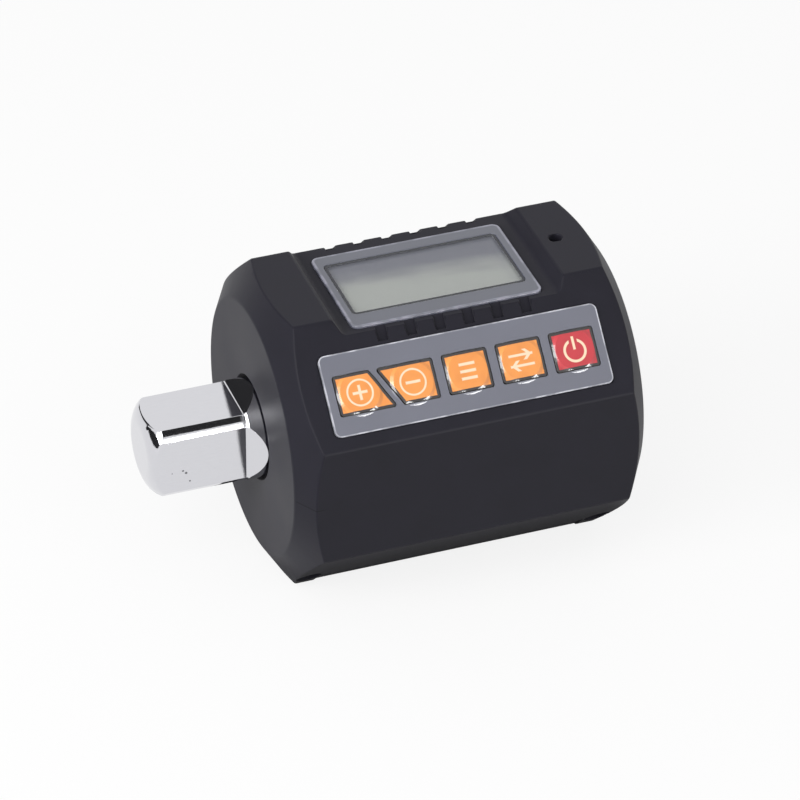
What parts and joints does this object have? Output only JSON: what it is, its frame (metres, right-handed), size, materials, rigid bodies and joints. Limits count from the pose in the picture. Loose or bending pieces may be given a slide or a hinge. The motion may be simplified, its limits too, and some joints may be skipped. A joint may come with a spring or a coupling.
{
  "type": "digital torque adapter",
  "caption": "Octagonal battery torque gauge with display and keypad on a steel shaft, with a male square drive at one end and a female square socket at the other.",
  "frame": {"origin": "on the shaft's axis, in the plane of the housing's drive end face", "axes": "+X along the shaft from the male drive to the female socket, +Z out of the display, -Y on the keypad's side"},
  "size_m": [0.0782, 0.05, 0.05],
  "materials": {
    "housing_plastic": "moulded charcoal plastic with a fine satin texture",
    "chrome_steel": "polished chrome plate on steel",
    "spring_steel": "bright spring wire and plated strip",
    "plated_screw": "zinc plate",
    "white_plastic": "natural nylon",
    "label_film": "slate grey printed polyester film",
    "clear_window": "clear polished window",
    "lcd_glass": "blank grey-green reflective panel",
    "black_rubber": "elastomer strip",
    "green_board": "solder mask on glass epoxy",
    "black_parts": "moulded component bodies",
    "orange_key": "orange printed film, embossed",
    "red_key": "red printed film, embossed",
    "amber_film": "polyimide film with copper tracks",
    "cell_sleeve": "printed sleeve on a steel can",
    "lead_insulation": "insulated stranded wire"
  },
  "bodies": {
    "housing": {"upper_shell": "housing_plastic", "lower_shell": "housing_plastic", "torsion_shaft": "chrome_steel", "neck_bush": "white_plastic", "detent_spring": "spring_steel", "display_bezel": "label_film", "display_window": "clear_window", "lcd_panel": "lcd_glass", "lcd_connectors": "black_rubber", "circuit_board": "green_board", "board_components": "black_parts", "board_screws": "plated_screw", "buzzer": "black_parts", "keypad_overlay": "label_film", "dome_switches": "plated_screw", "keypad_board": "green_board", "keypad_flex": "amber_film", "strain_gauges": "amber_film", "gauge_flex": "amber_film", "battery_front": "cell_sleeve", "battery_rear": "cell_sleeve", "battery_springs": "spring_steel", "battery_contacts": "spring_steel", "battery_leads": "lead_insulation", "housing_screws": "plated_screw"},
    "key_plus": {"key_plus": "orange_key"},
    "key_minus": {"key_minus": "orange_key"},
    "key_mode": {"key_mode": "orange_key"},
    "key_unit": {"key_unit": "orange_key"},
    "key_power": {"key_power": "red_key"},
    "battery_cover": {"battery_cover": "housing_plastic"},
    "detent_ball": {"detent_ball": "chrome_steel"}
  },
  "joints": [
    {"name": "key_plus_press", "type": "slide", "parent": "housing", "child": "key_plus", "axis": [0, 0.7071, -0.7071], "range_m": [0, 0.0003], "stiffness_N_per_m": 400, "springref_m": -0.0004},
    {"name": "key_minus_press", "type": "slide", "parent": "housing", "child": "key_minus", "axis": [0, 0.7071, -0.7071], "range_m": [0, 0.0003], "stiffness_N_per_m": 400, "springref_m": -0.0004},
    {"name": "key_mode_press", "type": "slide", "parent": "housing", "child": "key_mode", "axis": [0, 0.7071, -0.7071], "range_m": [0, 0.0003], "stiffness_N_per_m": 400, "springref_m": -0.0004},
    {"name": "key_unit_press", "type": "slide", "parent": "housing", "child": "key_unit", "axis": [0, 0.7071, -0.7071], "range_m": [0, 0.0003], "stiffness_N_per_m": 400, "springref_m": -0.0004},
    {"name": "key_power_press", "type": "slide", "parent": "housing", "child": "key_power", "axis": [0, 0.7071, -0.7071], "range_m": [0, 0.0003], "stiffness_N_per_m": 400, "springref_m": -0.0004},
    {"name": "detent_ball_press", "type": "slide", "parent": "housing", "child": "detent_ball", "axis": [0, -1, 0], "range_m": [0, 0.0009], "stiffness_N_per_m": 1500, "springref_m": -0.0007, "deforming": ["detent_spring"]},
    {"name": "battery_cover_tilt", "type": "hinge", "parent": "housing", "child": "battery_cover", "pos_m": [0.0076, 0, -0.0243], "axis": [0, 1, 0], "range_deg": [0, 20]}
  ]
}
